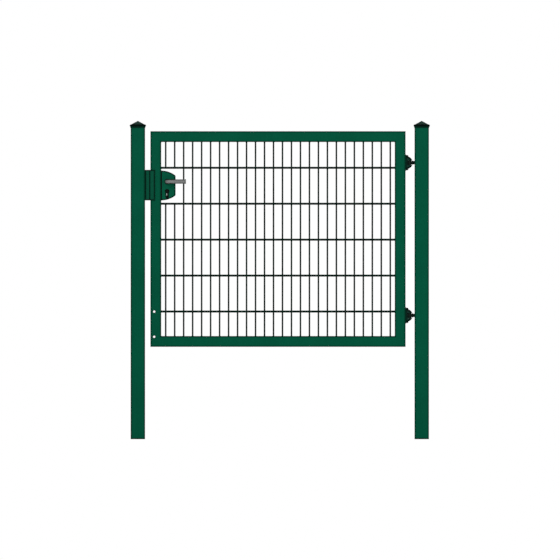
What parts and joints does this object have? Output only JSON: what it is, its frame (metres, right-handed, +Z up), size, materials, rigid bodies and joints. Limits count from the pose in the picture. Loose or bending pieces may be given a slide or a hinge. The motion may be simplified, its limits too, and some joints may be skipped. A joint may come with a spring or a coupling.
{
  "type": "single swing gate with double-rod mesh",
  "caption": "Single swing garden gate: square posts with pyramid caps, a rectangular tube leaf with double-rod mesh, lock, levers and adjustable hinges.",
  "frame": {"origin": "centre of the hinge post's foot, on the foot's end face", "axes": "+Z up along the posts, +X from the latch post to the hinge post, +Y towards the side that the leaf opens to"},
  "size_m": [1.671, 0.1516, 1.772],
  "materials": {
    "post_paint": "satin",
    "frame_paint": "satin",
    "mesh_paint": "satin",
    "cap_paint": "matte",
    "keep_paint": "satin",
    "lock_paint": "satin",
    "hinge_paint": "satin",
    "hinge_steel": "satin",
    "lock_steel": "satin",
    "lever_grey": "satin",
    "guard_plastic": "matte",
    "cylinder_nickel": "satin",
    "plug_dark": "satin",
    "rubber": "matte"
  },
  "bodies": {
    "posts": {"latch_post": "post_paint", "latch_post_cap": "cap_paint", "hinge_post": "post_paint", "hinge_post_cap": "cap_paint", "keep_body": "keep_paint", "keep_buffer": "rubber", "upper_eye_bolt": "hinge_steel", "lower_eye_bolt": "hinge_steel", "upper_lock_nut": "hinge_steel", "lower_lock_nut": "hinge_steel"},
    "leaf": {"latch_stile": "frame_paint", "hinge_stile": "frame_paint", "top_rail": "frame_paint", "bottom_rail": "frame_paint", "mesh_panel": "mesh_paint", "upper_hinge_yoke": "hinge_paint", "lower_hinge_yoke": "hinge_paint", "upper_hinge_pin": "hinge_steel", "lower_hinge_pin": "hinge_steel", "lock_case": "lock_paint", "lock_body": "lock_steel", "latch_bolt": "lock_steel", "dead_bolt": "lock_steel", "front_cylinder_guard": "guard_plastic", "rear_cylinder_guard": "guard_plastic", "lock_cylinder": "cylinder_nickel", "cylinder_plug": "plug_dark"},
    "handle": {"front_lever": "lever_grey", "rear_lever": "lever_grey", "spindle": "lock_steel"}
  },
  "joints": [
    {"name": "gate_swing", "type": "hinge", "parent": "posts", "child": "leaf", "pos_m": [-0.068, 0, 1.114], "axis": [0, 0, -1], "range_deg": [0, 90]},
    {"name": "lever_turn", "type": "hinge", "parent": "leaf", "child": "handle", "pos_m": [-1.417, 0, 1.434], "axis": [0, 1, 0], "range_deg": [0, 40], "stiffness_Nm_per_rad": 1.5, "springref_deg": -34.38}
  ]
}
